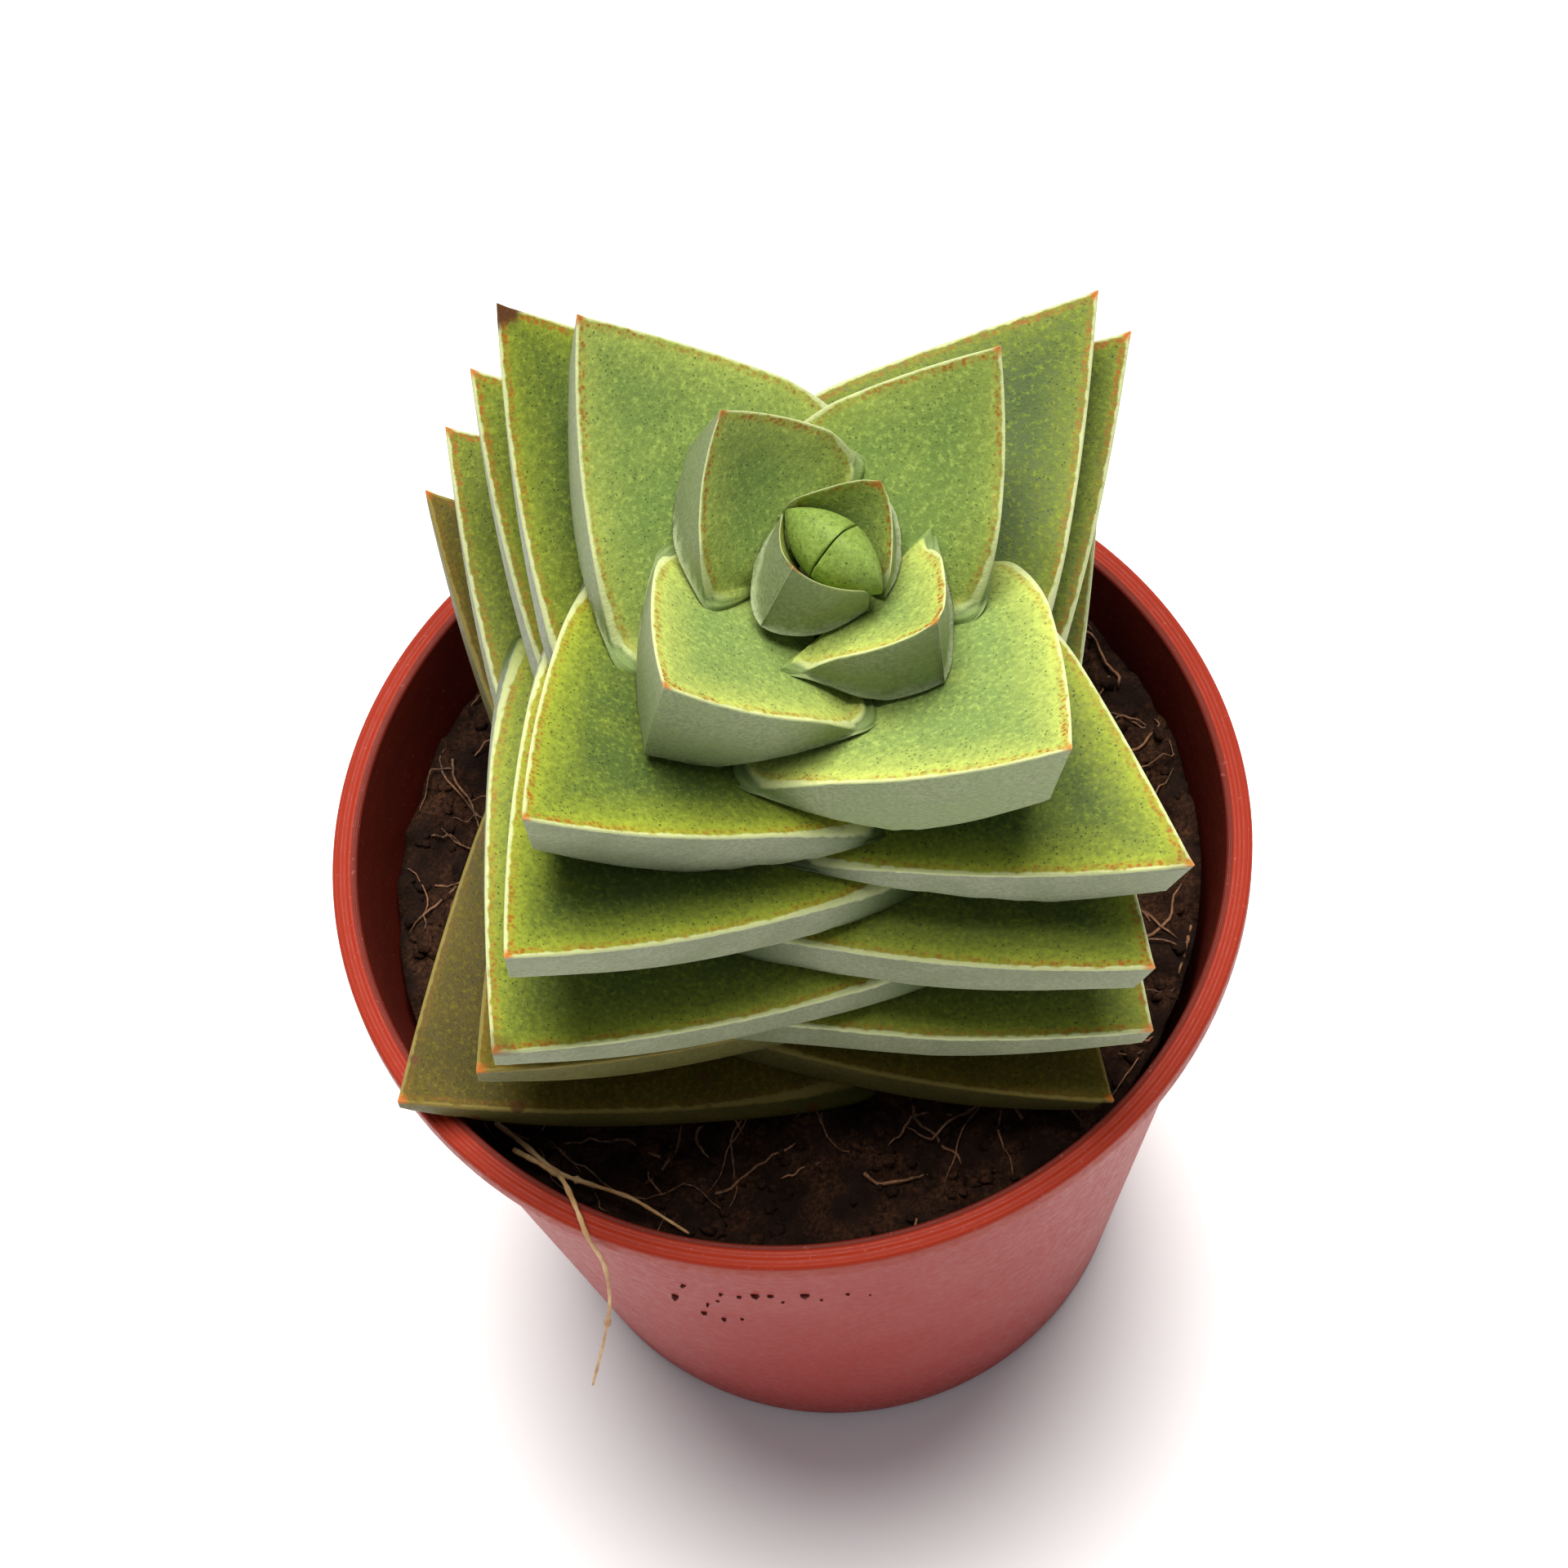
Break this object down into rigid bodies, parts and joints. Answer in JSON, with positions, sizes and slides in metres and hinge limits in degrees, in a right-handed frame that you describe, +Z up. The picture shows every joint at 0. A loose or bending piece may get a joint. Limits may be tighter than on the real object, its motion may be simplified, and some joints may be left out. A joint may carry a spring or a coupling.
{
  "type": "potted succulent",
  "caption": "Square column of stacked, pointed fleshy leaf pairs around a closed bud, leaning slightly in a small tapered plastic nursery pot of dark potting mix.",
  "frame": {"origin": "centre of the pot's flat underside", "axes": "+Z up along the pot's axis, -Y towards the viewer of the front, +X to the viewer's right; the plant leans towards +X and -Y"},
  "size_m": [0.055, 0.055, 0.092],
  "materials": {
    "pot_plastic": "thin terracotta-red plastic, semi-matt, brighter lip",
    "potting_mix": null,
    "stem_skin": "matt, woody green-brown skin",
    "dry_root": "thin dry tan root, matt",
    "bud_skin": null,
    "young_leaf": null,
    "grown_leaf": null,
    "old_leaf": null
  },
  "bodies": {
    "root": {"leaf_01_back_left": "bud_skin", "leaf_01_front_right": "bud_skin", "leaf_02_back_right": "young_leaf", "leaf_02_front_left": "young_leaf", "leaf_03_back_left": "young_leaf", "leaf_03_front_right": "young_leaf", "leaf_04_back_right": "young_leaf", "leaf_04_front_left": "young_leaf", "leaf_05_back_left": "young_leaf", "leaf_05_front_right": "young_leaf", "leaf_06_back_right": "grown_leaf", "leaf_06_front_left": "grown_leaf", "leaf_07_back_left": "grown_leaf", "leaf_07_front_right": "grown_leaf", "leaf_08_back_right": "grown_leaf", "leaf_08_front_left": "grown_leaf", "leaf_09_back_left": "grown_leaf", "leaf_09_front_right": "grown_leaf", "leaf_10_back_right": "grown_leaf", "leaf_10_front_left": "grown_leaf", "leaf_11_back_left": "grown_leaf", "leaf_11_front_right": "grown_leaf", "leaf_12_back_right": "old_leaf", "leaf_12_front_left": "old_leaf", "leaf_13_back_left": "old_leaf", "leaf_13_front_right": "old_leaf", "leaf_14_back_right": "old_leaf", "leaf_14_front_left": "old_leaf", "loose_root_on_soil": "dry_root", "loose_root_over_rim": "dry_root", "pot": "pot_plastic", "potting_mix": "potting_mix", "stem": "stem_skin"}
  },
  "joints": []
}
